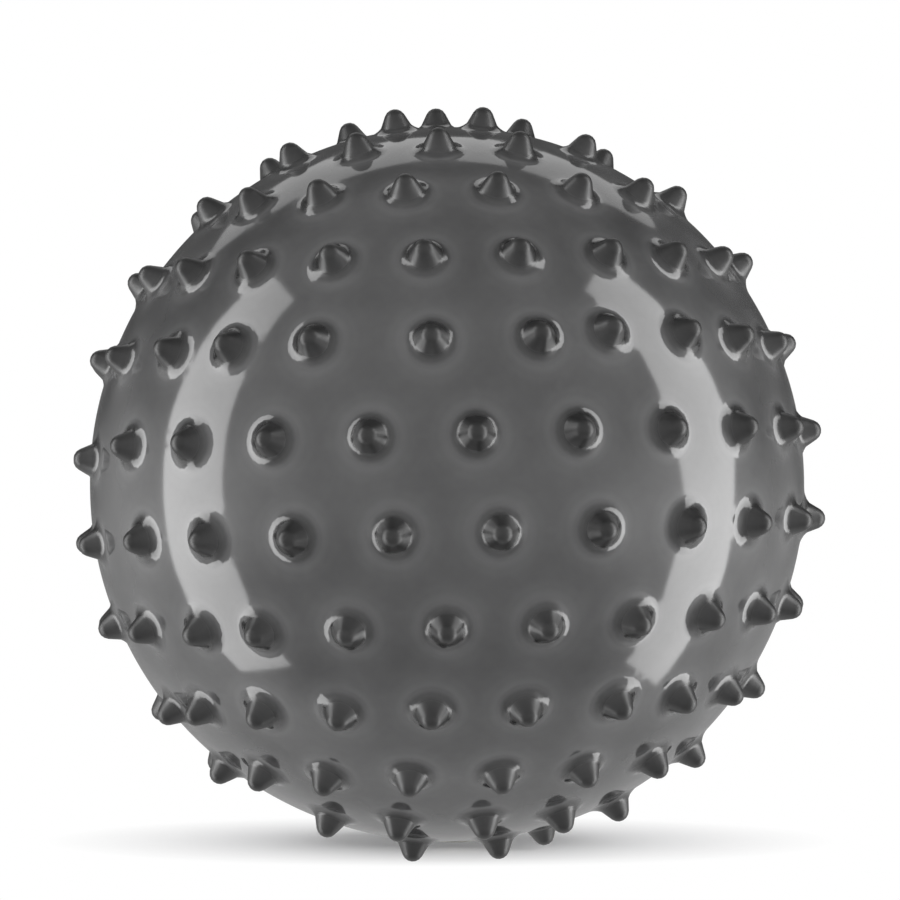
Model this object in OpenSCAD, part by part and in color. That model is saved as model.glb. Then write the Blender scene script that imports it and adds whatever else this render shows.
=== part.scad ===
// Sensory ball: an inflated, one-piece soft vinyl ball with rows of pointed nubs,
// closed by a pull-out plug in a soft sleeve.
// The origin is the centre of the ball. +Z goes through the top nub, -Z through the valve,
// and the front of the ball is at -Y.

/* [Ball] */
// Diameter of the skin between the nubs
ball_d = 188.4; // [150:0.1:300]
// Thickness of the skin
wall = 1.5; // [1:0.1:3]

/* [Nubs] */
// Height of a nub above the skin
nub_h = 5.8; // [5:0.1:8]
// Radius of a nub's rounded tip
tip_r = 2.8; // [2:0.1:3.1]
// Radius of the hollow curve round a nub's foot
foot_r = 4; // [3:0.1:4.6]
// Angle between a nub's flank and its axis, in degrees
flank = 29; // [25:1:33]

/* [Valve plug] */
// Diameter of the plug's shank
shank_d = 7; // [5:0.1:8]
// Length of the shank below the head
shank_l = 12; // [8:0.1:18]
// Diameter of the plug's head
head_d = 11; // [10:0.1:14]
// Thickness of the head
head_t = 1.8; // [1.2:0.1:2.5]
// How far the head stands out of its seat
head_proud = 0.5; // [0.2:0.1:1]
// Radial running clearance round the plug
plug_gap = 0.05; // [0.02:0.01:0.1]

/* [Valve sleeve] */
// Radius of the finger notch beside the plug's head
notch_r = 1.8; // [1:0.1:2.5]
// Thickness of the sleeve outside the notch
sleeve_wall = 0.65; // [0.5:0.05:3]
// Length of the sleeve, from the outside of the ball inwards
sleeve_l = 13; // [10:0.1:20]
// How far the flange inside the ball reaches beyond the sleeve's neck
flange_w = 5; // [3:0.1:10]
// Thickness of the flange
flange_t = 1.6; // [1:0.1:3]
// Room for the glue between the sleeve and the skin
glue_gap = 0.05; // [0.02:0.01:0.2]

/* [Hidden] */
$fn = 48;
// The ball's own large faces are drawn finer than the rest
ball_fn = 4 * $fn;
over = 1;

// How many places each row of nubs has, from the bottom row to the top one
row_places = [6, 13, 18, 22, 24, 24, 24, 24, 22, 18, 12, 6];
// How far round from the front each row starts, as a share of the row's own step
row_turn_shares = [-0.50, 0.31, -0.50, -0.23, -0.04, 0.49, 0.29, -0.11, -0.16, -0.35, 0.02, -0.45];
// Places that have no nub: row, place
bare_places = [[0, 5], [1, 3], [1, 9], [1, 10]];
// Nubs that stray from their row's rule: row, place, sideways share of the row's step,
// upward share of the step between the rows
stray_shares = [
    [0, 1, -0.05, 0], [0, 2, 0.12, 0],
    [1, 2, 0.15, 0],
    [2, 3, 0.10, 0], [2, 4, 0.25, 0], [2, 5, 0.50, 0], [2, 6, 0.25, 0],
    [2, 13, -0.20, 0], [2, 14, -0.40, 0],
    [3, 2, 0.08, 0], [3, 16, -0.20, 0], [3, 17, -0.40, -0.15], [3, 18, 0.18, -0.06],
    [4, 20, 0.15, 0], [4, 21, 0.17, 0],
    [5, 16, -0.10, 0], [5, 17, -0.25, 0], [5, 18, -0.50, -0.05], [5, 19, -0.25, -0.05],
    [6, 5, -0.20, -0.03], [6, 17, -0.20, 0], [6, 18, -0.40, -0.11], [6, 19, -0.10, -0.11],
    [7, 1, 0.09, 0], [7, 2, -0.13, 0.06], [7, 3, -0.15, 0.04], [7, 4, -0.25, 0],
    [7, 5, -0.35, -0.05], [7, 20, -0.20, 0], [7, 21, -0.11, 0.02], [7, 22, -0.21, 0.02],
    [7, 23, -0.22, 0.02],
    [8, 2, 0.05, 0], [8, 16, 0.30, 0],
    [9, 5, 0.60, 0], [9, 6, 0.35, 0], [9, 7, 0.10, 0], [9, 13, -0.25, 0], [9, 14, -0.50, 0],
    [10, 1, -0.15, -0.10], [10, 2, -0.10, 0], [10, 3, 0.30, 0],
    [10, 9, -0.25, 0], [10, 10, 0.10, 0], [10, 11, 0.10, 0],
    [11, 1, -0.03, 0], [11, 2, 0.12, 0], [11, 5, -0.15, 0],
];

ball_r = ball_d / 2;
inner_r = ball_r - wall;
rows = len(row_places);
// The rows share the height from pole to pole, with one step more than there are rows
row_step = 180 / (rows + 1);

// A nub's outline: a round tip, a straight flank and a hollow foot that meets the skin.
// The flank lies a hair inside both curves and the foot sinks a hair into the skin, so that
// every two lines cross and none just touch.
hair = nub_h / 200;
foot_sink = 4 * hair;
arc_r = tip_r + foot_r;
straight_h = nub_h - arc_r + arc_r * sin(flank);
foot_reach = arc_r * cos(flank) + straight_h * tan(flank);
foot_drop = ball_r - sqrt(ball_r * ball_r - foot_reach * foot_reach) + foot_sink;
flank_l = (straight_h + foot_drop) / cos(flank);
out = [cos(flank), sin(flank)];
down = [sin(flank), -cos(flank)];
tip_centre = [0, ball_r + nub_h - tip_r];
foot_centre = tip_centre + arc_r * out + flank_l * down;
root_z = ball_r - wall * 2 / 3;

// The valve's heights run from the outside of the ball, at the bottom, inwards
bottom = -ball_r;
head_z = bottom - head_proud;
seat_z = head_z + head_t;
shank_end = seat_z + shank_l;
seat_d = head_d + 2 * plug_gap;
bore_d = shank_d + 2 * plug_gap;
neck_d = seat_d + 2 * (notch_r + sleeve_wall);
flange_d = neck_d + 2 * flange_w;
flange_r = inner_r - glue_gap;
// Rounded corners, gate mark and hollow core of the plug
head_edge = head_t / 4;
shank_edge = shank_d / 10;
gate_d = head_d / 4;
gate_depth = head_t / 6;
core_d = shank_d / 2;
core_l = shank_l * 2 / 3;

function turn_of(row, place) =
    let (s = [for (t = stray_shares) if (t[0] == row && t[1] == place) t[2]])
    (row_turn_shares[row] + place + (len(s) > 0 ? s[0] : 0)) * 360 / row_places[row];
function rise_of(row, place) =
    let (s = [for (t = stray_shares) if (t[0] == row && t[1] == place) t[3]])
    (row - (rows - 1) / 2 + (len(s) > 0 ? s[0] : 0)) * row_step;
function is_bare(row, place) = len([for (b = bare_places) if (b == [row, place]) b]) > 0;

// A round bar of diameter d that starts below the ball and ends at the depth h inside it
module from_outside(d, h) {
    translate([0, 0, bottom - over])
        cylinder(d = d, h = h + over);
}

module nub() {
    rotate_extrude()
        difference() {
            union() {
                polygon([
                    [0, root_z],
                    [foot_centre[0], root_z],
                    foot_centre,
                    foot_centre - (foot_r + hair) * out,
                    tip_centre + (tip_r - hair) * out,
                    tip_centre,
                ]);
                translate(tip_centre)
                    intersection() {
                        circle(r = tip_r);
                        square(2 * tip_r);
                    }
            }
            translate(foot_centre) circle(r = foot_r);
        }
}

module nubs() {
    nub();
    for (row = [0:rows - 1], place = [0:row_places[row] - 1])
        if (!is_bare(row, place))
            rotate([0, 0, turn_of(row, place)])
                rotate([90 - rise_of(row, place), 0, 0])
                    nub();
}

module ball_skin() {
    color("dimgray")
        difference() {
            union() {
                sphere(r = ball_r, $fn = ball_fn);
                nubs();
            }
            sphere(r = inner_r, $fn = ball_fn);
            from_outside(neck_d + 2 * glue_gap, ball_r);
        }
}

module valve_sleeve() {
    color("gainsboro")
        difference() {
            union() {
                intersection() {
                    sphere(r = ball_r, $fn = ball_fn);
                    from_outside(neck_d, sleeve_l);
                }
                intersection() {
                    difference() {
                        sphere(r = flange_r, $fn = ball_fn);
                        sphere(r = flange_r - flange_t, $fn = ball_fn);
                    }
                    from_outside(flange_d, ball_r);
                }
            }
            from_outside(bore_d, sleeve_l + over);
            from_outside(seat_d, seat_z - bottom);
            translate([seat_d / 2, 0, 0])
                from_outside(2 * notch_r, seat_z - bottom);
        }
}

module valve_plug() {
    color("white")
        rotate_extrude()
            polygon([
                [0, head_z + gate_depth],
                [gate_d / 2, head_z + gate_depth],
                [gate_d / 2 + gate_depth, head_z],
                [head_d / 2 - head_edge, head_z],
                [head_d / 2, head_z + head_edge],
                [head_d / 2, seat_z],
                [shank_d / 2, seat_z],
                [shank_d / 2, shank_end - shank_edge],
                [shank_d / 2 - shank_edge, shank_end],
                [core_d / 2, shank_end],
                [core_d / 2, shank_end - core_l],
                [0, shank_end - core_l],
            ]);
}

ball_skin();
valve_sleeve();
valve_plug();
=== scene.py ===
"""Looks of the sensory ball: an inflated, glossy gray vinyl ball with rows of pointed nubs,
and the pull-out plug in its soft sleeve. Metres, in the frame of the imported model: the origin is
the ball's centre, +Z goes through the top nub, -Z through the valve, and the front is at -Y."""
import math

import bpy
import numpy as np
from mathutils import Matrix, Vector
from mathutils.geometry import delaunay_2d_cdt


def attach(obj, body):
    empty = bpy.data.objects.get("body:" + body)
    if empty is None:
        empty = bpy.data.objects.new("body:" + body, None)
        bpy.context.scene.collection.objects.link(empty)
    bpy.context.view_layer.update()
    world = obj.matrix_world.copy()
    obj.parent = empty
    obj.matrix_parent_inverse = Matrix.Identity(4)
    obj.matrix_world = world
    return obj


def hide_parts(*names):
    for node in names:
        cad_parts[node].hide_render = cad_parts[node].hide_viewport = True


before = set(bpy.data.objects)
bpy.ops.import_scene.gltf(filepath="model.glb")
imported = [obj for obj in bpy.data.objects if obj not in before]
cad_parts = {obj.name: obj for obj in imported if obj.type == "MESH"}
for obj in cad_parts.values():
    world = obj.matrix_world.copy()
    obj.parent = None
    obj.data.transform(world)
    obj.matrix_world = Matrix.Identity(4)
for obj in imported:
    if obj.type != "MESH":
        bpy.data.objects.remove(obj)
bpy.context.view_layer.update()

MM = 0.001

# ---- The ball, in millimetres ---------------------------------------------------------------
# As in the part's source
BALL_R = 94.2
WALL = 1.5
NUB_H = 5.8
TIP_R = 2.8
HOLE_R = 8.05
# Finer than there: the flank's angle to the axis, and a foot that turns sharply until it leans
# this much and flares out softly from there
FLANK = math.radians(27)
BEND_R = 0.8
BEND_UNTIL = math.radians(42)
FLARE_R = 5.8
# The rounding of the hole's rim
HOLE_EDGE = 0.25

# The rule of the nubs, row by row from the bottom one, as in the part's source: how many places
# a row has, how far round it starts as a share of its own step, and the places without a nub
ROW_PLACES = np.array([6, 13, 18, 22, 24, 24, 24, 24, 22, 18, 12, 6])
ROW_TURN_SHARES = np.array(
    [-0.50, 0.31, -0.50, -0.23, -0.04, 0.49, 0.29, -0.11, -0.16, -0.35, 0.02, -0.45])
BARE_PLACES = np.array([[0, 5], [1, 3], [1, 9], [1, 10]])
# Nubs that stray from the rule: row, place, sideways share of the row's step, upward share of
# the step between the rows
STRAY_SHARES = np.array([
    [0, 1, -0.05, 0], [0, 2, 0.12, 0],
    [1, 2, 0.15, 0],
    [2, 3, 0.10, 0], [2, 4, 0.25, 0], [2, 5, 0.50, 0], [2, 6, 0.25, 0],
    [2, 13, -0.20, 0], [2, 14, -0.40, 0],
    [3, 2, 0.08, 0], [3, 16, -0.20, 0], [3, 17, -0.40, -0.15], [3, 18, 0.18, -0.06],
    [4, 20, 0.15, 0], [4, 21, 0.17, 0],
    [5, 16, -0.10, 0], [5, 17, -0.25, 0], [5, 18, -0.50, -0.05], [5, 19, -0.25, -0.05],
    [6, 5, -0.20, -0.03], [6, 17, -0.20, 0], [6, 18, -0.40, -0.11], [6, 19, -0.10, -0.11],
    [7, 1, 0.09, 0], [7, 2, -0.13, 0.06], [7, 3, -0.15, 0.04], [7, 4, -0.25, 0],
    [7, 5, -0.35, -0.05], [7, 20, -0.20, 0], [7, 21, -0.11, 0.02], [7, 22, -0.21, 0.02],
    [7, 23, -0.22, 0.02],
    [8, 2, 0.05, 0], [8, 16, 0.30, 0],
    [9, 5, 0.60, 0], [9, 6, 0.35, 0], [9, 7, 0.10, 0], [9, 13, -0.25, 0], [9, 14, -0.50, 0],
    [10, 1, -0.15, -0.10], [10, 2, -0.10, 0], [10, 3, 0.30, 0],
    [10, 9, -0.25, 0], [10, 10, 0.10, 0], [10, 11, 0.10, 0],
    [11, 1, -0.03, 0], [11, 2, 0.12, 0], [11, 5, -0.15, 0],
])

# The plug, as in the part's source: its heights run from the outside of the ball inwards
HEAD_R = 5.5
HEAD_T = 1.8
HEAD_PROUD = 0.5
SHANK_R = 3.5
SHANK_L = 12.0
CORE_R = 1.75
CORE_L = 8.0
HEAD_Z = -BALL_R - HEAD_PROUD
SEAT_Z = HEAD_Z + HEAD_T
SHANK_END = SEAT_Z + SHANK_L
CORE_END = SHANK_END - CORE_L
# The gate mark: a shallow dish in the head
GATE_FLOOR_R = 1.3
GATE_RIM_R = 1.7
GATE_Z = HEAD_Z + 0.3
# Corners of the plug's outline as distance from the axis and height, and the radius of the
# rounding at each of them but the first and the last
PLUG_CORNERS = np.array([
    [0, GATE_Z], [GATE_FLOOR_R, GATE_Z], [GATE_RIM_R, HEAD_Z], [HEAD_R, HEAD_Z],
    [HEAD_R, SEAT_Z], [SHANK_R, SEAT_Z], [SHANK_R, SHANK_END], [CORE_R, SHANK_END],
    [CORE_R, CORE_END], [0, CORE_END]])
PLUG_ROUNDINGS = np.array([0.3, 0.3, 0.5, 0.15, 0.1, 0.8, 0.25, 0.6])
PLUG_SECTORS = 96
ROUNDING_STEPS = 6

# Slow swells of the soft skin: how many, their height and their shortest and longest wave
SWELLS = 7
SWELL_H = 0.022
SWELL_WAVES = (26, 70)
SWELL_SEED = 7

# Bends of the vinyl look evened out over this far to either side
SOFTNESS = 0.4

# How finely the skin is drawn: steps along a nub's tip, flank, bend and flare, once for its
# rings and once for looking up its height, and the pitch of the points between the nubs
RING_STEPS = (3, 1, 1, 4)
LOOKUP_STEPS = (300, 40, 100, 400)
NUB_SECTORS = 16
FILL_PITCH = 2.2
RIM_SECTORS = 72
INSIDE_RINGS = 24
# Two more rings beyond a nub's foot, and how clear the other points stay of the outermost ring
# and of the hole, as shares of that pitch
OUTER_RING_SHARES = np.array([0.55, 1.3])
NUB_CLEAR_SHARE = 0.6
HOLE_CLEAR_SHARE = 0.7
# Rings round the hole: how far outside it they lie, as shares of its rim's rounding
HOLE_RING_SHARES = np.array([8, 4, 1, 0.3, 0])
# A point's distance from the nearest nub's axis is noted up to here
FAR_FROM_NUB = 16.0
# Edges sharper than this many degrees stay sharp
SHARP_SKIN = 50
SHARP_PLUG = 60


def nub_axes():
    """Unit vectors through the nubs. Rows lie at equal steps of latitude and places at equal
    steps round a row, which starts at its own turn; strays are shifted by their shares, bare
    places are left out, and one more nub stands on the top."""
    rows = len(ROW_PLACES)
    row = np.repeat(np.arange(rows), ROW_PLACES)
    place = np.concatenate([np.arange(n) for n in ROW_PLACES])
    shift = np.zeros((rows, ROW_PLACES.max(), 2))
    at = STRAY_SHARES[:, :2].astype(int)
    shift[at[:, 0], at[:, 1]] = STRAY_SHARES[:, 2:]
    filled = np.ones((rows, ROW_PLACES.max()), bool)
    filled[BARE_PLACES[:, 0], BARE_PLACES[:, 1]] = False
    keep = filled[row, place]
    row, place = row[keep], place[keep]
    sideways, upward = shift[row, place].T
    turn = (ROW_TURN_SHARES[row] + place + sideways) * math.tau / ROW_PLACES[row]
    rise = (row - (rows - 1) / 2 + upward) * math.pi / (rows + 1)
    axes = np.stack([np.cos(rise) * np.sin(turn), -np.cos(rise) * np.cos(turn), np.sin(rise)], 1)
    return np.vstack([axes, [0, 0, 1]])


def nub_outline(tip_steps, flank_steps, bend_steps, flare_steps):
    """Outline of a nub in the plane of its axis, from the tip to where the foot meets the skin:
    a round tip, a straight flank, a sharp bend and a wide flare that touches the ball. The
    flare's centre lies one flare radius outside the ball, so the skin runs on smoothly."""
    def facing(lean):
        return np.stack([np.sin(lean), np.cos(lean)], -1)

    steep = math.pi / 2 - FLANK
    down = np.array([math.sin(FLANK), -math.cos(FLANK)])
    tip = np.array([0, BALL_R + NUB_H - TIP_R])
    tip_line = tip + TIP_R * facing(np.linspace(0, steep, tip_steps + 1))
    to_bend = BEND_R * facing(steep)
    to_flare = (FLARE_R - BEND_R) * facing(BEND_UNTIL)
    start = tip_line[-1] + to_bend + to_flare
    half = start @ down
    slide = -half - math.sqrt(half ** 2 - start @ start + (BALL_R + FLARE_R) ** 2)
    bend = tip_line[-1] + slide * down + to_bend
    flare = bend + to_flare
    flank_line = (tip_line[-1]
                  + np.linspace(0, slide, flank_steps + 1)[1:, None] * down)
    bend_line = bend - BEND_R * facing(np.linspace(steep, BEND_UNTIL, bend_steps + 1)[1:])
    last = math.atan2(flare[0], flare[1])
    flare_line = flare - FLARE_R * facing(np.linspace(BEND_UNTIL, last, flare_steps + 1)[1:])
    return np.vstack([tip_line, flank_line, bend_line, flare_line])


def unit(vectors):
    """The vectors, each at the length of one."""
    return vectors / np.linalg.norm(vectors, axis=-1, keepdims=True)


AXES = nub_axes()
LOOKUP_OUTLINE = nub_outline(*LOOKUP_STEPS)
LOOKUP_ANGLE = np.arctan2(LOOKUP_OUTLINE[:, 0], LOOKUP_OUTLINE[:, 1])
LOOKUP_RISE = np.hypot(LOOKUP_OUTLINE[:, 0], LOOKUP_OUTLINE[:, 1]) - BALL_R
draw = np.random.default_rng(SWELL_SEED)
SWELL_WAYS = unit(draw.normal(size=(SWELLS, 3)))
SWELL_WAYS *= math.tau * BALL_R / np.geomspace(*SWELL_WAVES, SWELLS)[:, None]
SWELL_TURNS = draw.uniform(0, math.tau, SWELLS)


def skin_reach(way):
    """Distance of the outer skin from the centre along each unit vector: the ball's radius,
    plus every near nub's outline at the angle from its axis, plus slow swells, each a plain
    sine wave along a way of its own."""
    reach = BALL_R + SWELL_H * np.sin(way @ SWELL_WAYS.T + SWELL_TURNS).sum(1)
    cosine = way @ AXES.T
    point, nub = np.nonzero(cosine > math.cos(LOOKUP_ANGLE[-1]))
    angle = np.arccos(np.clip(cosine[point, nub], -1, 1))
    np.add.at(reach, point, np.interp(angle, LOOKUP_ANGLE, LOOKUP_RISE))
    return reach


def cross_ways(way):
    """Two unit vectors that stand square on each unit vector and on each other."""
    helper = np.where(np.abs(way[:, 2:]) < 0.9, [[0.0, 0.0, 1.0]], [[0.0, 1.0, 0.0]])
    across = unit(np.cross(helper, way))
    return across, np.cross(way, across)


def skin_normals(way):
    """Normals of the outer skin, from how the reach changes a short step to either side: the
    unit vector less the slopes along two cross ways, over the reach. The step evens out what
    is smaller than itself, so bends look as soft as they do in soft vinyl."""
    step = SOFTNESS / BALL_R
    normal = way * skin_reach(way)[:, None]
    for side in cross_ways(way):
        ahead, behind = unit(way + step * side), unit(way - step * side)
        slope = (skin_reach(ahead) - skin_reach(behind)) / (2 * step)
        normal -= slope[:, None] * side
    return unit(normal)


def round_axis(axis, angle, sectors):
    """Unit vectors in rings round each axis, one ring for each angle from it, every other ring
    turned by half a sector: cos(angle) axis + sin(angle) (cos(turn) across + sin(turn) up)."""
    ring, sector = np.meshgrid(np.arange(len(angle)), np.arange(sectors), indexing="ij")
    turn = ((sector + ring % 2 / 2) * math.tau / sectors)[None, :, :, None]
    across, up = cross_ways(axis)
    side = np.cos(turn) * across[:, None, None] + np.sin(turn) * up[:, None, None]
    angle = angle[None, :, None, None]
    return np.cos(angle) * axis[:, None, None] + np.sin(angle) * side


def nub_rings():
    """Unit vectors to the rings round every nub, closer together where its outline bends,
    without the points that lie nearer to another nub. Gives also the lines between neighbours
    in the rings of the nubs themselves, which the net has to keep, and the angle of the
    outermost ring."""
    outline = nub_outline(*RING_STEPS)
    angle = np.arctan2(outline[1:, 0], outline[1:, 1])
    angle = np.append(angle, angle[-1] + OUTER_RING_SHARES * FILL_PITCH / BALL_R)
    nubs = round_axis(AXES, angle, NUB_SECTORS)
    own = np.broadcast_to(np.arange(len(AXES))[:, None, None], nubs.shape[:3]).ravel()
    nubs = nubs.reshape(-1, 3)
    keep = (nubs @ AXES.T).argmax(1) == own
    # The nubs' tips come first in the list of all points, then these
    number = np.where(keep, len(AXES) + np.cumsum(keep) - 1, -1)
    number = number.reshape(len(AXES), len(angle), NUB_SECTORS)[:, :-len(OUTER_RING_SHARES)]
    lines = np.stack([number, np.roll(number, -1, axis=2)], -1).reshape(-1, 2)
    return nubs[keep], lines, angle[-1]


def filling(foot_angle):
    """Unit vectors of an even spiral from pole to pole, each point turned on from the last by
    the golden angle, as far as they are clear of the nubs and of the valve's hole."""
    count = int(4 * math.pi * BALL_R ** 2 / (FILL_PITCH ** 2 * math.sin(math.pi / 3)))
    step = np.arange(count) + 0.5
    z = 1 - 2 * step / count
    around = np.sqrt(1 - z * z)
    spin = step * math.pi * (3 - math.sqrt(5))
    spiral = np.stack([around * np.cos(spin), around * np.sin(spin), z], 1)
    nub_clear = foot_angle + NUB_CLEAR_SHARE * FILL_PITCH / BALL_R
    hole_clear = HOLE_R + HOLE_EDGE * HOLE_RING_SHARES[0] + HOLE_CLEAR_SHARE * FILL_PITCH
    clear = (spiral @ AXES.T).max(1) < math.cos(nub_clear)
    clear &= spiral[:, 2] > -math.cos(hole_clear / BALL_R)
    return spiral[clear]


def hole_rings():
    """Unit vectors to the rings round the valve's hole, its rim the last."""
    angle = np.arcsin((HOLE_R + HOLE_EDGE * HOLE_RING_SHARES) / BALL_R)
    return round_axis(np.array([[0.0, 0.0, -1.0]]), angle, RIM_SECTORS).reshape(-1, 3)


def skin_ways():
    """Unit vectors to all points of the outer skin: the nubs' tips, the rings round them, the
    filling between and the rings round the valve's hole. Gives also the lines to keep."""
    nubs, lines, foot_angle = nub_rings()
    return np.vstack([AXES, nubs, filling(foot_angle), hole_rings()]), lines


def net_over(way, lines):
    """Triangles that join the points: they are laid flat by looking out from the valve's pole,
    which keeps circles round, and joined there so that the lines are kept and else no point
    lies in a triangle's circle."""
    flat = way[:, :2] / (1 + way[:, 2:])
    found = delaunay_2d_cdt([Vector(p) for p in flat.tolist()], lines.tolist(), [], 0, 0.0)
    source = np.array([o[0] for o in found[3]])
    return source[np.array(found[2])]


def put_mesh(name, points, faces, sharp):
    """A piece from points, in millimetres, and faces; smooth but for its sharp edges."""
    mesh = bpy.data.meshes.new(name)
    mesh.from_pydata((points * MM).tolist(), [], faces)
    mesh.shade_smooth()
    mesh.set_sharp_from_angle(angle=math.radians(sharp))
    piece = bpy.data.objects.new(name, mesh)
    bpy.context.scene.collection.objects.link(piece)
    return piece


def outwards(points, faces):
    """The same triangles, all turned so that they face away from the centre."""
    a, b, c = (points[faces[:, i]] for i in range(3))
    inward = (np.cross(b - a, c - a) * (a + b + c)).sum(1) < 0
    faces[inward] = faces[inward][:, ::-1]
    return faces


def grid_faces(rings, sectors, first=0):
    """Four-cornered faces of a grid of rings whose sectors close on themselves."""
    r, s = np.meshgrid(np.arange(rings - 1), np.arange(sectors), indexing="ij")
    t = (s + 1) % sectors
    a, b, c, d = r * sectors + s, r * sectors + t, (r + 1) * sectors + t, (r + 1) * sectors + s
    return np.stack([a, b, c, d], -1).reshape(-1, 4) + first


def make_skin():
    """The ball's skin: the outer net over the nubs, a plain round inside, and the wall of the
    valve's hole between them."""
    way, lines = skin_ways()
    points = way * skin_reach(way)[:, None]
    faces = outwards(points, net_over(way, lines))
    # The rim is rounded: its two innermost rings sink into the hole
    rim = points[-RIM_SECTORS:].copy()
    points[-RIM_SECTORS:, 2] += HOLE_EDGE
    points[-2 * RIM_SECTORS:-RIM_SECTORS, 2] += HOLE_EDGE * HOLE_RING_SHARES[-2]
    inner_r = BALL_R - WALL
    low = math.asin(HOLE_R / inner_r)
    polar = np.linspace(low, math.pi, INSIDE_RINGS + 1)[:-1]
    turn = np.arctan2(rim[:, 1], rim[:, 0])
    inside = inner_r * np.stack([
        np.sin(polar)[:, None] * np.cos(turn), np.sin(polar)[:, None] * np.sin(turn),
        np.repeat(-np.cos(polar)[:, None], RIM_SECTORS, 1)], -1)
    inside[0, :, :2] = rim[:, :2]
    first = len(points)
    points = np.vstack([points, inside.reshape(-1, 3), [[0, 0, inner_r]]])
    wall = grid_faces(2, RIM_SECTORS, first - RIM_SECTORS)
    room = grid_faces(INSIDE_RINGS, RIM_SECTORS, first)
    last = np.arange(RIM_SECTORS) + first + (INSIDE_RINGS - 1) * RIM_SECTORS
    top = np.stack([last, np.roll(last, -1), np.full(RIM_SECTORS, len(points) - 1)], 1)
    # The rim's points run the same way round as the inside's, seen from below
    a, b = points[wall[:, 0]], points[wall[:, 1]]
    if ((np.cross(b - a, points[wall[:, 3]] - a) * (a * [1, 1, 0])).sum(1) > 0).mean() > 0.5:
        wall, room, top = wall[:, ::-1], room[:, ::-1], top[:, ::-1]
    skin = put_mesh("nubbed_skin", points,
                    faces.tolist() + wall.tolist() + room.tolist() + top.tolist(), SHARP_SKIN)
    # Evened normals on the outside; at a point whose normal is zero the mesh's own stays
    normals = np.zeros_like(points)
    outside = len(way) - 2 * RIM_SECTORS
    normals[:outside] = skin_normals(way[:outside])
    skin.data.normals_split_custom_set_from_vertices(normals.tolist())
    # How far each point lies from the nearest nub's axis, along the skin
    away = np.full(len(points), FAR_FROM_NUB * MM)
    nearest = np.arccos(np.clip((way @ AXES.T).max(1), -1, 1)) * BALL_R
    away[:len(way)] = np.minimum(nearest, FAR_FROM_NUB) * MM
    skin.data.attributes.new("nub_distance", "FLOAT", "POINT").data.foreach_set("value", away)
    return skin


def rounded(corners, radii):
    """The line through the corners with an arc in each of them: the arc's centre lies on the
    line that halves the corner, its radius over the half angle's sine away, and the arc turns
    from one leg to the other in equal steps."""
    here = corners[1:-1]
    back, on = unit(corners[:-2] - here), unit(corners[2:] - here)
    half = np.arccos((back * on).sum(1)) / 2
    centre = here + unit(back + on) * (radii / np.sin(half))[:, None]
    start = here + back * (radii / np.tan(half))[:, None] - centre
    left = np.sign(on[:, 0] * back[:, 1] - on[:, 1] * back[:, 0])
    turn = (left * (math.pi - 2 * half))[:, None] * np.linspace(0, 1, ROUNDING_STEPS + 1)
    x, z = start[:, :1], start[:, 1:]
    arcs = centre[:, None] + np.stack([x * np.cos(turn) - z * np.sin(turn),
                                       x * np.sin(turn) + z * np.cos(turn)], -1)
    return np.vstack([corners[:1], arcs.reshape(-1, 2), corners[-1:]])


def make_plug():
    """The plug: its rounded outline turned round the valve's axis, closed at both poles."""
    line = rounded(PLUG_CORNERS, PLUG_ROUNDINGS)
    turn = np.arange(PLUG_SECTORS) * math.tau / PLUG_SECTORS
    away, height = line[1:-1, :1], line[1:-1, 1:]
    rings = np.stack([away * np.cos(turn), away * np.sin(turn),
                      np.broadcast_to(height, (len(away), PLUG_SECTORS))], -1)
    points = np.vstack([rings.reshape(-1, 3), [[0, 0, line[0, 1]], [0, 0, line[-1, 1]]]])
    side = grid_faces(len(rings), PLUG_SECTORS)
    first = np.arange(PLUG_SECTORS)
    last = first + (len(rings) - 1) * PLUG_SECTORS
    outer = np.stack([np.roll(first, -1), first, np.full(PLUG_SECTORS, len(points) - 2)], 1)
    inner = np.stack([last, np.roll(last, -1), np.full(PLUG_SECTORS, len(points) - 1)], 1)
    return put_mesh("pull_out_plug", points,
                    side.tolist() + outer.tolist() + inner.tolist(), SHARP_PLUG)


# ---- Materials ------------------------------------------------------------------------------
# Places of the Mix node's sockets, which share their names between numbers and colours
NUMBER_A, NUMBER_B, COLOUR_A, COLOUR_B, COLOUR_OUT = 2, 3, 6, 7, 2


def gray(level):
    """A gray of that level with a trace of blue."""
    return (level, level, level * 1.01, 1)


def set_stops(ramp, points):
    """Gives a colour ramp its gray stops, from pairs of place and level."""
    stops = ramp.color_ramp.elements
    while len(stops) < len(points):
        stops.new(0.5)
    for stop, (at, level) in zip(stops, points):
        stop.position = at
        stop.color = (level, level, level, 1)


def new_group(name, inputs, outputs):
    """An effect that several materials share: named sockets in and out."""
    group = bpy.data.node_groups.new(name, "ShaderNodeTree")
    for label, kind, value in inputs:
        socket = group.interface.new_socket(label, in_out="INPUT", socket_type=kind)
        if value is not None:
            socket.default_value = value
    for label, kind in outputs:
        group.interface.new_socket(label, in_out="OUTPUT", socket_type=kind)
    return group, group.nodes.new("NodeGroupInput"), group.nodes.new("NodeGroupOutput")


def add(tree, kind, **settings):
    """A node with its settings; a key that starts with in_ sets that input's value."""
    node = tree.nodes.new(kind)
    for key, value in settings.items():
        if key.startswith("in_"):
            node.inputs[key[3:].replace("_", " ")].default_value = value
        else:
            setattr(node, key, value)
    return node


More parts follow.
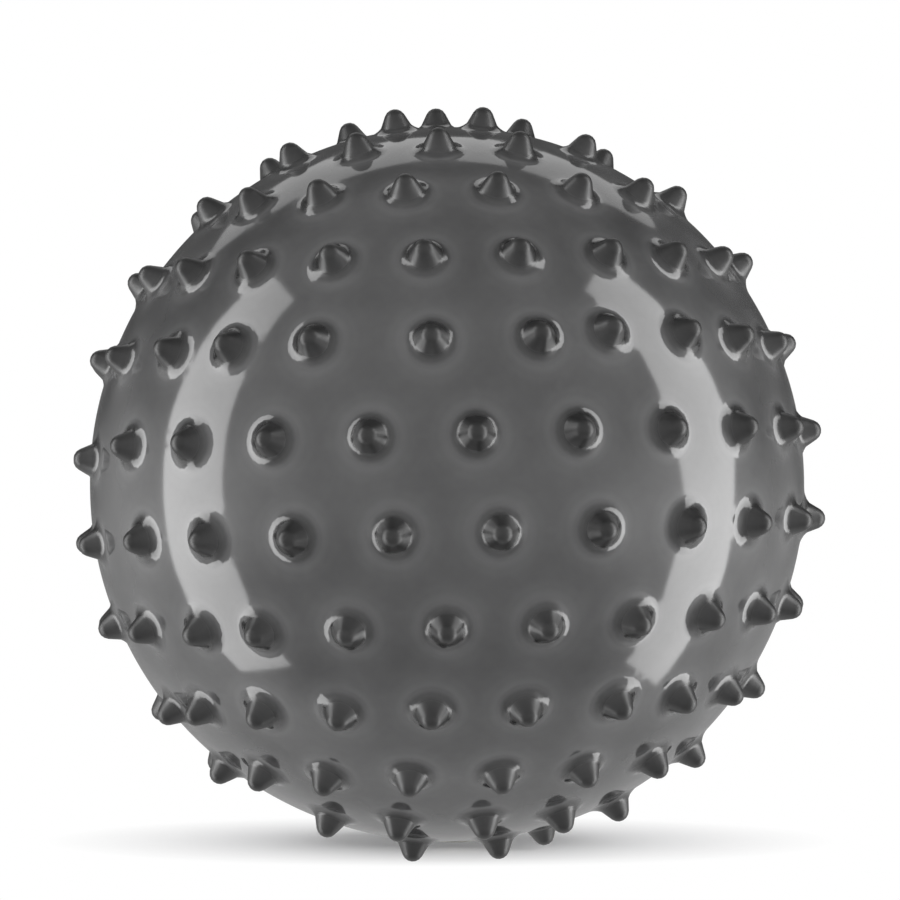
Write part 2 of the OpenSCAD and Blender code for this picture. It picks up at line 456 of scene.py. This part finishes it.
def pigment_group():
    """Cloudy pigment: the colour lies between pale and deep by the shade, which large soft
    clouds and small flecks shift a little either way."""
    g, i, o = new_group(
        "cloudy_pigment",
        [("Place", "NodeSocketVector", None), ("Shade", "NodeSocketFloat", 0.5),
         ("Clouds", "NodeSocketFloat", 0.2), ("Cloud Scale", "NodeSocketFloat", 30),
         ("Fleck Scale", "NodeSocketFloat", 400), ("Pale", "NodeSocketColor", None),
         ("Deep", "NodeSocketColor", None)],
        [("Colour", "NodeSocketColor")])
    link = g.links.new
    cloud = add(g, "ShaderNodeTexNoise", in_Detail=3, in_Roughness=0.55)
    fleck = add(g, "ShaderNodeTexNoise", in_Detail=2, in_Roughness=0.6)
    blend = add(g, "ShaderNodeMix", data_type="FLOAT", in_Factor=0.25)
    centred = add(g, "ShaderNodeMath", operation="SUBTRACT")
    centred.inputs[1].default_value = 0.5
    shade = add(g, "ShaderNodeMath", operation="MULTIPLY_ADD")
    tone = add(g, "ShaderNodeMix", data_type="RGBA")
    for noise, scale in ((cloud, "Cloud Scale"), (fleck, "Fleck Scale")):
        link(i.outputs["Place"], noise.inputs["Vector"])
        link(i.outputs[scale], noise.inputs["Scale"])
    link(cloud.outputs["Fac"], blend.inputs[NUMBER_A])
    link(fleck.outputs["Fac"], blend.inputs[NUMBER_B])
    link(blend.outputs[0], centred.inputs[0])
    link(centred.outputs[0], shade.inputs[0])
    link(i.outputs["Clouds"], shade.inputs[1])
    link(i.outputs["Shade"], shade.inputs[2])
    link(shade.outputs[0], tone.inputs[0])
    link(i.outputs["Pale"], tone.inputs[COLOUR_A])
    link(i.outputs["Deep"], tone.inputs[COLOUR_B])
    link(tone.outputs[COLOUR_OUT], o.inputs["Colour"])
    return g


def handling_group():
    """Gloss that hands have touched: roughness wanders between shiny and dull in soft patches,
    with a few fine scuffs that are duller still."""
    g, i, o = new_group(
        "handled_gloss",
        [("Place", "NodeSocketVector", None), ("Patch Scale", "NodeSocketFloat", 40),
         ("Shiny", "NodeSocketFloat", 0.1), ("Dull", "NodeSocketFloat", 0.2),
         ("Scuffs", "NodeSocketFloat", 0.2)],
        [("Roughness", "NodeSocketFloat"), ("Scuff Mask", "NodeSocketFloat")])
    link = g.links.new
    patch = add(g, "ShaderNodeTexNoise", in_Detail=4, in_Roughness=0.6)
    span = add(g, "ShaderNodeMapRange", in_From_Min=0.35, in_From_Max=0.7)
    stretch = add(g, "ShaderNodeMapping")
    stretch.inputs["Scale"].default_value = (1.0, 0.25, 1.6)
    stretch.inputs["Rotation"].default_value = (0.4, 0.7, 1.1)
    scuff = add(g, "ShaderNodeTexNoise", in_Scale=260, in_Detail=5, in_Roughness=0.7)
    thin = add(g, "ShaderNodeMapRange", in_From_Min=0.66, in_From_Max=0.74)
    worn = add(g, "ShaderNodeMath", operation="MULTIPLY_ADD")
    link(i.outputs["Place"], patch.inputs["Vector"])
    link(i.outputs["Patch Scale"], patch.inputs["Scale"])
    link(patch.outputs["Fac"], span.inputs["Value"])
    link(i.outputs["Shiny"], span.inputs["To Min"])
    link(i.outputs["Dull"], span.inputs["To Max"])
    link(i.outputs["Place"], stretch.inputs["Vector"])
    link(stretch.outputs["Vector"], scuff.inputs["Vector"])
    link(scuff.outputs["Fac"], thin.inputs["Value"])
    link(thin.outputs["Result"], worn.inputs[0])
    link(i.outputs["Scuffs"], worn.inputs[1])
    link(span.outputs["Result"], worn.inputs[2])
    link(worn.outputs[0], o.inputs["Roughness"])
    link(thin.outputs["Result"], o.inputs["Scuff Mask"])
    return g


def ripple_group():
    """Moulded surface: slow ripples of the soft skin and a fine orange-peel grain, as heights
    in metres that bend the normal."""
    g, i, o = new_group(
        "moulded_ripple",
        [("Place", "NodeSocketVector", None), ("Ripple Scale", "NodeSocketFloat", 90),
         ("Ripple Height", "NodeSocketFloat", 0.0001), ("Grain Scale", "NodeSocketFloat", 1500),
         ("Grain Height", "NodeSocketFloat", 0.00001)],
        [("Normal", "NodeSocketVector")])
    link = g.links.new
    normal = None
    for size, height, detail in (("Ripple Scale", "Ripple Height", 1.5),
                                 ("Grain Scale", "Grain Height", 2.0)):
        noise = add(g, "ShaderNodeTexNoise", in_Detail=detail, in_Roughness=0.5)
        bump = add(g, "ShaderNodeBump", in_Strength=1.0)
        link(i.outputs["Place"], noise.inputs["Vector"])
        link(i.outputs[size], noise.inputs["Scale"])
        link(noise.outputs["Fac"], bump.inputs["Height"])
        link(i.outputs[height], bump.inputs["Distance"])
        if normal:
            link(normal, bump.inputs["Normal"])
        normal = bump.outputs["Normal"]
    link(normal, o.inputs["Normal"])
    return g


PIGMENT, HANDLING, RIPPLE = pigment_group(), handling_group(), ripple_group()


def moulded_plastic(name, pigment, gloss, ripple, shader):
    """A moulded plastic: its own values for the three shared effects and for its shader.
    Gives the material with its pigment and gloss nodes and its shader, to build on."""
    material = bpy.data.materials.new(name)
    material.use_nodes = True
    tree = material.node_tree
    tree.nodes.clear()
    place = tree.nodes.new("ShaderNodeTexCoord")
    body = tree.nodes.new("ShaderNodeBsdfPrincipled")
    end = tree.nodes.new("ShaderNodeOutputMaterial")
    for key, value in shader.items():
        body.inputs[key].default_value = value
    made = []
    for group, values in ((PIGMENT, pigment), (HANDLING, gloss), (RIPPLE, ripple)):
        node = tree.nodes.new("ShaderNodeGroup")
        node.node_tree = group
        for key, value in values.items():
            node.inputs[key].default_value = value
        tree.links.new(place.outputs["Object"], node.inputs["Place"])
        made.append(node)
    tree.links.new(made[0].outputs["Colour"], body.inputs["Base Color"])
    tree.links.new(made[1].outputs["Roughness"], body.inputs["Roughness"])
    tree.links.new(made[2].outputs["Normal"], body.inputs["Normal"])
    tree.links.new(body.outputs["BSDF"], end.inputs["Surface"])
    return material, made[0], made[1], body


# By distance from the nub's axis, in millimetres: how dark the vinyl is coloured, darkest in the
# nubs, palest round their feet and lighter on the flanks as a painted reflection; and how much of
# a nub's dull finish it has
DARKNESS_WITH_PAINTED_FLANK_LIGHT_BY_DISTANCE = [
    (0, 0.97), (2.0, 0.95), (2.8, 0.87), (3.6, 0.8), (4.4, 0.72), (5.2, 0.56), (6.6, 0.1),
    (7.4, 0.02), (9.5, 0.2), (12, 0.3), (16, 0.36)]
NUB_BY_DISTANCE = [(0, 1), (3.3, 0.95), (4.3, 0.5), (5.6, 0)]
# How much painted shade darkens the vinyl's colour edge on, and how much duller a nub is than the
# skin
PAINTED_EDGE_SHADE = 0.25
NUB_DULLNESS = 0.34


def curve_of(tree, source, points):
    """A value that follows a distance in metres, eased from point to point of the curve."""
    share = add(tree, "ShaderNodeMath", operation="DIVIDE")
    share.inputs[1].default_value = FAR_FROM_NUB * MM
    ramp = tree.nodes.new("ShaderNodeValToRGB")
    ramp.color_ramp.interpolation = "EASE"
    set_stops(ramp, [(away / FAR_FROM_NUB, value) for away, value in points])
    tree.links.new(source, share.inputs[0])
    tree.links.new(share.outputs[0], ramp.inputs[0])
    return ramp.outputs["Color"]


def nubbed_vinyl():
    """The skin's vinyl. Its colour is darkest in the nubs and palest round their feet; a painted
    reflection lightens the nubs' flanks and painted shade darkens it where it is seen edge on.
    The nubs are duller than the skin."""
    material, pigment, gloss, body = moulded_plastic(
        "glossy_gray_vinyl",
        pigment={"Clouds": 0.6, "Cloud Scale": 32, "Fleck Scale": 260,
                 "Pale": gray(0.088), "Deep": gray(0.006)},
        gloss={"Patch Scale": 35, "Shiny": 0.075, "Dull": 0.10, "Scuffs": 0.05},
        ripple={"Ripple Scale": 70, "Ripple Height": 0.00008, "Grain Scale": 900,
                "Grain Height": 0.0000012},
        shader={"IOR": 1.5})
    tree = material.node_tree
    away = add(tree, "ShaderNodeAttribute", attribute_name="nub_distance")
    # The colour's darkness by distance, with the painted reflection that lightens the flanks
    shade = curve_of(tree, away.outputs["Fac"], DARKNESS_WITH_PAINTED_FLANK_LIGHT_BY_DISTANCE)
    # Painted shade: the colour darkens towards where the skin is seen edge on
    slant = tree.nodes.new("ShaderNodeLayerWeight")
    painted_darkening = add(tree, "ShaderNodeMath", operation="MULTIPLY_ADD")
    painted_darkening.inputs[1].default_value = PAINTED_EDGE_SHADE
    nub = curve_of(tree, away.outputs["Fac"], NUB_BY_DISTANCE)
    duller = add(tree, "ShaderNodeMath", operation="MULTIPLY_ADD")
    duller.inputs[1].default_value = NUB_DULLNESS
    tree.links.new(slant.outputs["Facing"], painted_darkening.inputs[0])
    tree.links.new(shade, painted_darkening.inputs[2])
    tree.links.new(painted_darkening.outputs[0], pigment.inputs["Shade"])
    tree.links.new(nub, duller.inputs[0])
    tree.links.new(gloss.outputs["Roughness"], duller.inputs[2])
    tree.links.new(duller.outputs[0], body.inputs["Roughness"])
    return material


glossy_vinyl = nubbed_vinyl()
satin_vinyl = moulded_plastic(
    "satin_sleeve_vinyl",
    pigment={"Clouds": 1.0, "Cloud Scale": 90, "Fleck Scale": 900, "Pale": gray(0.15),
             "Deep": gray(0.10)},
    gloss={"Patch Scale": 160, "Shiny": 0.20, "Dull": 0.32, "Scuffs": 0.15},
    ripple={"Ripple Scale": 160, "Ripple Height": 0.00008, "Grain Scale": 2200,
            "Grain Height": 0.00001},
    shader={"IOR": 1.5})[0]
milky_plastic = moulded_plastic(
    "milky_plug_plastic",
    pigment={"Clouds": 1.0, "Cloud Scale": 160, "Fleck Scale": 1500,
             "Pale": (0.76, 0.75, 0.71, 1), "Deep": (0.60, 0.58, 0.53, 1)},
    gloss={"Patch Scale": 220, "Shiny": 0.30, "Dull": 0.46, "Scuffs": 0.15},
    ripple={"Ripple Scale": 300, "Ripple Height": 0.00006, "Grain Scale": 3000,
            "Grain Height": 0.000012},
    shader={"IOR": 1.5, "Subsurface Weight": 0.2, "Subsurface Scale": 0.002,
            "Subsurface Radius": (1.0, 0.95, 0.85)})[0]

# ---- Pieces ---------------------------------------------------------------------------------
skin = make_skin()
skin.data.materials.append(glossy_vinyl)
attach(skin, "ball")
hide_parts("ball_skin")

plug = make_plug()
plug.data.materials.append(milky_plastic)
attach(plug, "plug")
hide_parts("valve_plug")

sleeve = bpy.data.objects["valve_sleeve"].data
sleeve.materials.clear()
sleeve.materials.append(satin_vinyl)

# ---- Camera, floor and light ----------------------------------------------------------------
# The camera stands level with the ball's centre and leans a little clockwise
CAMERA_AWAY = 0.705
CAMERA_LEAN = math.radians(1.7)
LENS = 106.0
SENSOR = 36.0
# How far left of the picture's middle and below it the ball stands, in pixels, and how
# wide the picture is
BALL_LEFT = 3.1
BALL_DOWN = 34.2
PICTURE = 900
UP = Vector((math.sin(CAMERA_LEAN), 0, math.cos(CAMERA_LEAN)))
RIGHT = Vector((math.cos(CAMERA_LEAN), 0, -math.sin(CAMERA_LEAN)))
BACK = Vector((0, -1, 0))
lens = bpy.data.cameras.new("camera")
lens.lens = LENS
lens.sensor_width = SENSOR
lens.shift_x = BALL_LEFT / PICTURE
lens.shift_y = BALL_DOWN / PICTURE
lens.clip_start = 0.01
camera = bpy.data.objects.new("camera", lens)
camera.matrix_world = Matrix((RIGHT, UP, BACK)).transposed().to_4x4()
camera.location = BACK * CAMERA_AWAY
bpy.context.scene.collection.objects.link(camera)
bpy.context.scene.camera = camera


# Near the ball the camera sees the lit floor and the ball's shadow, lightened by a painted white
# glow that grows over an oval in the shadow's place, which sets the shadow's painted outline. In
# metres: how much shorter the oval is from front to back, its shift, and between which distances
# it turns into plain white
OVAL_SQUASH = (1, 2.1, 0)
OVAL_SHIFT = (0.0045, -0.046, 0)
PALE_UNTIL = 0.03
WHITE_FROM = 0.108
# How much of the painted white glow lightens the shadow even at its heart
LEAST_WHITE = 0.12
FLOOR_PALE = 0.92
FLOOR_HALF = 3.0


def paper_white():
    """Floor: pale and dull near the ball, where it keeps the ball's shadow, lightened by painted
    white glow that the camera sees, and the plain white of the background further out. From
    below it is clear, so that the valve can be seen."""
    material = bpy.data.materials.new("pale_floor")
    material.use_nodes = True
    tree = material.node_tree
    tree.nodes.clear()
    link = tree.links.new
    rays = tree.nodes.new("ShaderNodeLightPath")
    side = tree.nodes.new("ShaderNodeNewGeometry")
    place = tree.nodes.new("ShaderNodeTexCoord")
    away = add(tree, "ShaderNodeVectorMath", operation="LENGTH")
    oval = add(tree, "ShaderNodeVectorMath", operation="MULTIPLY_ADD")
    oval.inputs[1].default_value = OVAL_SQUASH
    oval.inputs[2].default_value = OVAL_SHIFT
    out = add(tree, "ShaderNodeMapRange", in_From_Min=PALE_UNTIL, in_From_Max=WHITE_FROM,
              in_To_Min=LEAST_WHITE)
    far = add(tree, "ShaderNodeMath", operation="MULTIPLY")
    dull = tree.nodes.new("ShaderNodeBsdfDiffuse")
    dull.inputs["Color"].default_value = gray(FLOOR_PALE)
    white = tree.nodes.new("ShaderNodeEmission")
    clear = tree.nodes.new("ShaderNodeBsdfTransparent")
    near_or_far = tree.nodes.new("ShaderNodeMixShader")
    either = tree.nodes.new("ShaderNodeMixShader")
    end = tree.nodes.new("ShaderNodeOutputMaterial")
    link(place.outputs["Object"], oval.inputs[0])
    link(oval.outputs["Vector"], away.inputs[0])
    link(away.outputs["Value"], out.inputs["Value"])
    link(out.outputs["Result"], far.inputs[0])
    link(rays.outputs["Is Camera Ray"], far.inputs[1])
    link(far.outputs[0], near_or_far.inputs[0])
    link(dull.outputs[0], near_or_far.inputs[1])
    link(white.outputs[0], near_or_far.inputs[2])
    link(side.outputs["Backfacing"], either.inputs[0])
    link(near_or_far.outputs[0], either.inputs[1])
    link(clear.outputs[0], either.inputs[2])
    link(either.outputs[0], end.inputs["Surface"])
    return material


def make_floor():
    """A square floor under the lowest nub, level as the camera sees it."""
    tips = (BALL_R + NUB_H - TIP_R) * (AXES @ -np.array(UP)) + TIP_R
    centre = -UP * float(tips.max()) * MM
    corners = [centre + RIGHT * FLOOR_HALF * a + BACK * FLOOR_HALF * b
               for a, b in ((-1, 1), (1, 1), (1, -1), (-1, -1))]
    mesh = bpy.data.meshes.new("floor")
    mesh.from_pydata(corners, [], [(0, 1, 2, 3)])
    floor = bpy.data.objects.new("floor", mesh)
    mesh.materials.append(paper_white())
    bpy.context.scene.collection.objects.link(floor)
    floor.visible_glossy = False


# How bright a softbox is along its height, from its lower end to its upper end
SOFTBOX_FADE = [
    (0, 0.76), (0.1, 0.92), (0.25, 1), (0.45, 0.95), (0.6, 0.92), (0.8, 0.83), (1, 0.68)]
# How sharply a slanting lower end is cut, as a share of the height
SLANT_EDGE = 0.004


def softbox(name, centre, facing, across, width, height, level, slant=0.0,
            shape="RECTANGLE"):
    """A lamp at a centre, facing one way, as wide as said along across. As a rectangle it fades
    towards its ends, and its lower end can be cut at a slant, as a share of its height."""
    lamp = bpy.data.lights.new(name, "AREA")
    lamp.shape = shape
    lamp.size, lamp.size_y = width, height
    lamp.energy = level * width * height * math.pi
    if shape == "RECTANGLE":
        lamp.use_nodes = True
        tree = lamp.node_tree
        place = tree.nodes.new("ShaderNodeNewGeometry")
        along = add(tree, "ShaderNodeVectorMath", operation="DOT_PRODUCT")
        along.inputs[1].default_value = (slant, 1, 0)
        fade = tree.nodes.new("ShaderNodeValToRGB")
        points = [(slant + at * (1 - slant), part) for at, part in SOFTBOX_FADE]
        if slant:
            points = [(0, 0), (slant - SLANT_EDGE, 0)] + points
        set_stops(fade, points)
        tree.links.new(place.outputs["Parametric"], along.inputs[0])
        tree.links.new(along.outputs["Value"], fade.inputs[0])
        tree.links.new(fade.outputs["Color"], tree.nodes["Emission"].inputs["Strength"])
    box = bpy.data.objects.new(name, lamp)
    across, back = Vector(across), -Vector(facing)
    box.matrix_world = Matrix((across, back.cross(across), back)).transposed().to_4x4()
    box.location = centre
    box.visible_camera = False
    bpy.context.scene.collection.objects.link(box)


def soft_patch_group():
    """A soft patch of the studio: strongest where the ray points at its centre, nothing
    further off than its size."""
    g, i, o = new_group(
        "soft_patch",
        [("Ray", "NodeSocketVector", None), ("Centre", "NodeSocketVector", None),
         ("Size", "NodeSocketVector", None), ("Level", "NodeSocketFloat", 1)],
        [("Value", "NodeSocketFloat")])
    offset = add(g, "ShaderNodeVectorMath", operation="SUBTRACT")
    share = add(g, "ShaderNodeVectorMath", operation="DIVIDE")
    away = add(g, "ShaderNodeVectorMath", operation="LENGTH")
    fall = add(g, "ShaderNodeMapRange", in_From_Min=0, in_From_Max=1, in_To_Max=0,
               interpolation_type="SMOOTHSTEP")
    g.links.new(i.outputs["Ray"], offset.inputs[0])
    g.links.new(i.outputs["Centre"], offset.inputs[1])
    g.links.new(offset.outputs["Vector"], share.inputs[0])
    g.links.new(i.outputs["Size"], share.inputs[1])
    g.links.new(share.outputs["Vector"], away.inputs[0])
    g.links.new(away.outputs["Value"], fall.inputs["Value"])
    g.links.new(i.outputs["Level"], fall.inputs["To Min"])
    g.links.new(fall.outputs["Result"], o.inputs["Value"])
    return g


# Brightness of the studio by height on the ray, -1 straight down and 1 straight up: the part in
# front of the ball and the part behind it
FRONT_LEVELS = [
    (-1, 1.15), (-0.93, 1.02), (-0.79, 0.68), (-0.62, 0.86), (-0.37, 0.88), (-0.1, 1.0),
    (0.1, 1.03), (0.37, 0.97), (0.62, 1.02), (0.79, 0.92), (0.93, 0.60), (0.99, 0.45), (1, 0.4)]
REAR_LEVELS = [
    (-1, 1.25), (-0.93, 0.85), (-0.79, 0.82), (-0.62, 1.0), (-0.37, 0.95), (-0.1, 0.55),
    (0.02, 0.3), (0.15, 0.14), (0.9, 0.12), (1, 0.4)]
# No level is above the first, as a ramp holds only 0 to 1, and no ray finds less than the second
BRIGHTEST = 1.25
DARKEST = 0.03
# How far back a ray points where the rear part takes over, and where it fades and how much
REAR_FROM, REAR_FULL = 0.0, 0.45
FADE_FROM, FADE_FULL = 0.35, 0.95
FADE_NEAR, FADE_FAR = 1.25, 0.6
# Walls, reflectors and dark corners of the studio: where, how wide, how much lighter
SOFT_PATCHES = [
    ((0.95, -0.15, -0.16), (0.70, 0.90, 0.50), 1.6),
    ((-0.95, -0.05, -0.06), (0.70, 0.90, 0.50), 1.3),
    ((0.9, 0.24, 0.37), (0.4, 0.4, 0.35), 0.5),
    ((-0.8, 0.55, 0.05), (0.5, 0.5, 0.45), 0.55),
    ((0.75, 0.6, 0.0), (0.45, 0.5, 0.45), 0.3),
    ((0.68, -0.05, 0.75), (0.55, 0.65, 0.45), -0.55),
    ((-0.68, -0.05, 0.75), (0.55, 0.65, 0.45), -0.4),
    ((0.65, 0.12, -0.75), (0.5, 0.38, 0.45), 0.8),
    ((-0.65, 0.12, -0.75), (0.5, 0.38, 0.45), 0.9),
]


def sky_ramp(tree, height, levels):
    """Brightness of one part of the studio by height on the ray, as a share of the brightest."""
    ramp = tree.nodes.new("ShaderNodeValToRGB")
    set_stops(ramp, [(at / 2 + 0.5, level / BRIGHTEST) for at, level in levels])
    tree.links.new(height, ramp.inputs[0])
    return ramp.outputs["Color"]


def surroundings():
    """The studio round the ball: plain white to the camera. Other rays find a bright room in
    front, a dark one behind and a pale table below, which fades towards the back."""
    world = bpy.data.worlds.new("studio")
    bpy.context.scene.world = world
    world.use_nodes = True
    tree = world.node_tree
    tree.nodes.clear()
    link = tree.links.new
    place = tree.nodes.new("ShaderNodeTexCoord")
    split = tree.nodes.new("ShaderNodeSeparateXYZ")
    height = add(tree, "ShaderNodeMapRange", in_From_Min=-1.0, in_From_Max=1.0)
    front = sky_ramp(tree, height.outputs["Result"], FRONT_LEVELS)
    rear = sky_ramp(tree, height.outputs["Result"], REAR_LEVELS)
    behind = add(tree, "ShaderNodeMapRange", in_From_Min=REAR_FROM, in_From_Max=REAR_FULL,
                 interpolation_type="SMOOTHSTEP")
    fade = add(tree, "ShaderNodeMapRange", in_From_Min=FADE_FROM, in_From_Max=FADE_FULL,
               in_To_Min=FADE_NEAR, in_To_Max=FADE_FAR)
    faded = add(tree, "ShaderNodeMath", operation="MULTIPLY")
    level = add(tree, "ShaderNodeMix", data_type="FLOAT")
    scaled = add(tree, "ShaderNodeMath", operation="MULTIPLY")
    scaled.inputs[1].default_value = BRIGHTEST
    rays = tree.nodes.new("ShaderNodeLightPath")
    seen = add(tree, "ShaderNodeMix", data_type="FLOAT")
    seen.inputs[NUMBER_B].default_value = 1.0
    sky = tree.nodes.new("ShaderNodeBackground")
    sky.inputs["Color"].default_value = (1, 1, 1, 1)
    end = tree.nodes.new("ShaderNodeOutputWorld")
    link(place.outputs["Generated"], split.inputs[0])
    link(split.outputs["Z"], height.inputs["Value"])
    link(split.outputs["Y"], behind.inputs["Value"])
    link(split.outputs["Y"], fade.inputs["Value"])
    link(rear, faded.inputs[0])
    link(fade.outputs["Result"], faded.inputs[1])
    link(behind.outputs["Result"], level.inputs[0])
    link(front, level.inputs[NUMBER_A])
    link(faded.outputs[0], level.inputs[NUMBER_B])
    link(level.outputs[0], scaled.inputs[0])
    total = scaled.outputs[0]
    patch_group = soft_patch_group()
    for centre, size, lighter in SOFT_PATCHES:
        patch = tree.nodes.new("ShaderNodeGroup")
        patch.node_tree = patch_group
        patch.inputs["Centre"].default_value = centre
        patch.inputs["Size"].default_value = size
        patch.inputs["Level"].default_value = lighter
        both = add(tree, "ShaderNodeMath", operation="ADD")
        link(place.outputs["Generated"], patch.inputs["Ray"])
        link(total, both.inputs[0])
        link(patch.outputs["Value"], both.inputs[1])
        total = both.outputs[0]
    never_black = add(tree, "ShaderNodeMath", operation="MAXIMUM")
    never_black.inputs[1].default_value = DARKEST
    link(total, never_black.inputs[0])
    link(rays.outputs["Is Camera Ray"], seen.inputs[0])
    link(never_black.outputs[0], seen.inputs[NUMBER_A])
    link(seen.outputs[0], sky.inputs["Strength"])
    link(sky.outputs[0], end.inputs["Surface"])


make_floor()
surroundings()
softbox("left_softbox", centre=(-1.0, -0.13, 0.105), facing=(1, 0, 0), across=(0, -1, 0),
        width=0.46, height=2.39, level=5.45, slant=0.1)
# This one leans by five degrees
softbox("right_softbox", centre=(1.0, -0.08, 0.14), facing=(-1, 0, 0),
        across=(0, 0.9962, 0.0872), width=0.42, height=2.4, level=5.75)
# An ellipse gives off its power over a smaller face than the rectangle round it
softbox("top_softbox", centre=(-0.04, 0.93, 1.0), facing=(0, 0, -1), across=(1, 0, 0),
        width=1.8, height=0.78, level=1.06 * math.pi / 4, shape="ELLIPSE")
bpy.context.scene.view_settings.view_transform = "Standard"
